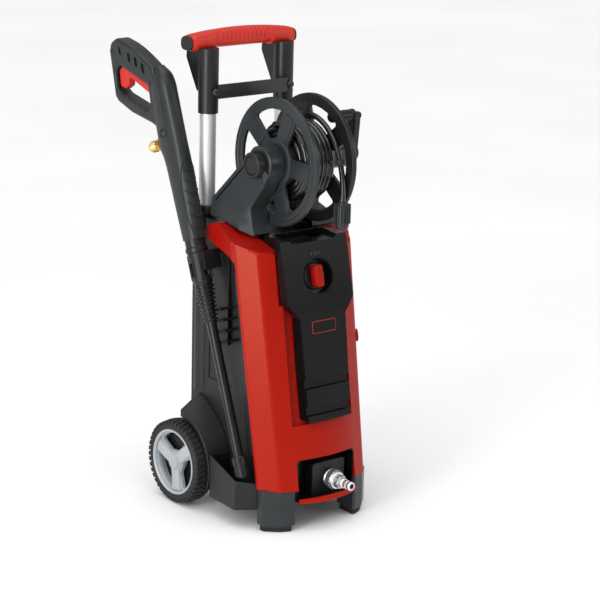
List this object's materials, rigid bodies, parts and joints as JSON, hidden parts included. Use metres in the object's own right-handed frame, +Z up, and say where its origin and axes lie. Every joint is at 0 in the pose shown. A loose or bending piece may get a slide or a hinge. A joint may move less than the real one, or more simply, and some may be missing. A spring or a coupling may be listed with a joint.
{
  "type": "pressure washer",
  "caption": "Upright pressure washer on two wheels with a leaning red shell, hose reel on top, telescopic handle, water inlet at the front and a stored spray gun with lance.",
  "frame": {"origin": "on the floor, under the middle of the machine's box, front to back and side to side", "axes": "+X to the right seen from the front, -Y to the front (panel and water inlet), +Z up"},
  "size_m": [0.328, 0.5396, 0.8795],
  "materials": {
    "red_gloss": "glossy moulded shell",
    "black_housing": "finely grained",
    "grey_plastic": "satin grain",
    "rubber": "matte",
    "panel_black": "satin",
    "inlet_metal": "bright",
    "steel": "brushed",
    "black_plastic": "satin",
    "cast_aluminium": "as cast",
    "brass": "machined",
    "tyre": "moulded tread",
    "light_rim": "satin",
    "hose_rubber": "semi-gloss",
    "tube_aluminium": "anodised, drawn",
    "black_metal": "powder coated",
    "red_grip": "satin",
    "gun_grey": "satin",
    "lance_dark": "satin"
  },
  "bodies": {
    "root": {"red_shell": "red_gloss", "rear_housing": "black_housing", "base_chassis": "black_housing", "side_pockets": "black_housing", "fender_left": "black_housing", "fender_right": "black_housing", "front_leg_left": "grey_plastic", "front_leg_right": "grey_plastic", "foot_pads": "rubber", "front_panel": "panel_black", "top_tray": "panel_black", "inlet_block": "black_housing", "inlet_nut": "inlet_metal", "axle": "steel", "bracket_left": "grey_plastic", "bracket_right": "grey_plastic", "bracket_cap": "grey_plastic", "tube_collars": "black_plastic", "gun_holder": "black_plastic", "cable_gland": "black_plastic", "motor_housing": "cast_aluminium", "pump_head": "cast_aluminium", "pump_pistons": "steel", "pressure_pipe": "brass", "switch_box": "black_plastic", "hose_end": "hose_rubber", "hose_nut": "grey_plastic", "hose_clip": "grey_plastic"},
    "wheel_left": {"tyre_left": "tyre", "rim_left": "light_rim", "hub_cap_left": "light_rim"},
    "wheel_right": {"tyre_right": "tyre", "rim_right": "light_rim", "hub_cap_right": "light_rim"},
    "reel": {"reel_drum": "black_plastic", "flange_left": "grey_plastic", "flange_right": "grey_plastic", "crank_arm": "black_plastic", "hose_coil": "hose_rubber"},
    "crank_handle": {"crank_knob": "black_plastic"},
    "handle": {"tube_left": "tube_aluminium", "tube_right": "tube_aluminium", "sleeve_left": "black_plastic", "sleeve_right": "black_plastic", "cross_strap": "black_metal", "strap_bolts": "black_metal", "handle_grip": "red_grip", "grip_caps": "black_plastic"},
    "switch": {"switch_knob": "red_grip"},
    "gun": {"gun_shell_left": "gun_grey", "gun_shell_right": "gun_grey", "gun_valve": "brass", "lance_coupling": "gun_grey", "lance_sleeve": "black_plastic", "lance_tube": "lance_dark"},
    "trigger": {"trigger": "red_grip"},
    "lock": {"lock_button": "gun_grey"},
    "nozzle": {"nozzle": "black_plastic"},
    "dial": {"detergent_dial": "red_gloss"},
    "rotor": {"motor_rotor": "steel"}
  },
  "joints": [
    {"name": "wheel_left_spin", "type": "hinge", "parent": "root", "child": "wheel_left", "pos_m": [0, 0.0332, 0.08], "axis": [1, 0, 0], "continuous": true},
    {"name": "wheel_right_spin", "type": "hinge", "parent": "root", "child": "wheel_right", "pos_m": [0, 0.0332, 0.08], "axis": [1, 0, 0], "continuous": true},
    {"name": "handle_slide", "type": "slide", "parent": "root", "child": "handle", "axis": [0, 0, 1], "range_m": [-0.16, 0]},
    {"name": "reel_spin", "type": "hinge", "parent": "root", "child": "reel", "pos_m": [0, -0.1075, 0.66], "axis": [1, 0, 0], "continuous": true},
    {"name": "crank_fold", "type": "hinge", "parent": "reel", "child": "crank_handle", "pos_m": [0.129, -0.11752, 0.7313], "axis": [0, 0.9903, 0.1392], "range_deg": [0, 180]},
    {"name": "switch_turn", "type": "hinge", "parent": "root", "child": "switch", "pos_m": [0, -0.18094, 0.461], "axis": [0, -0.9677, 0.2519], "range_deg": [-90, 0]},
    {"name": "gun_lift", "type": "slide", "parent": "root", "child": "gun", "axis": [-0.0123, 0.3355, 0.942], "range_m": [0, 0.44]},
    {"name": "trigger_pull", "type": "hinge", "parent": "gun", "child": "trigger", "pos_m": [-0.14291, 0.11859, 0.76789], "axis": [0.9999, 0, 0.0131], "range_deg": [0, 7], "stiffness_Nm_per_rad": 1, "springref_deg": -8.59},
    {"name": "lock_slide", "type": "slide", "parent": "gun", "child": "lock", "axis": [0.9999, 0, 0.0131], "range_m": [-0.0025, 0]},
    {"name": "nozzle_twist", "type": "hinge", "parent": "gun", "child": "nozzle", "pos_m": [-0.1345, -0.1336, 0.1253], "axis": [-0.0123, 0.3355, 0.942], "range_deg": [0, 90]},
    {"name": "dial_turn", "type": "hinge", "parent": "root", "child": "dial", "pos_m": [0.107, -0.15727, 0.32703], "axis": [0.8357, -0.5424, 0.0859], "range_deg": [0, 270]},
    {"name": "rotor_spin", "type": "hinge", "parent": "root", "child": "rotor", "pos_m": [0, -0.0568, 0.35], "axis": [0, 0, 1], "continuous": true}
  ]
}
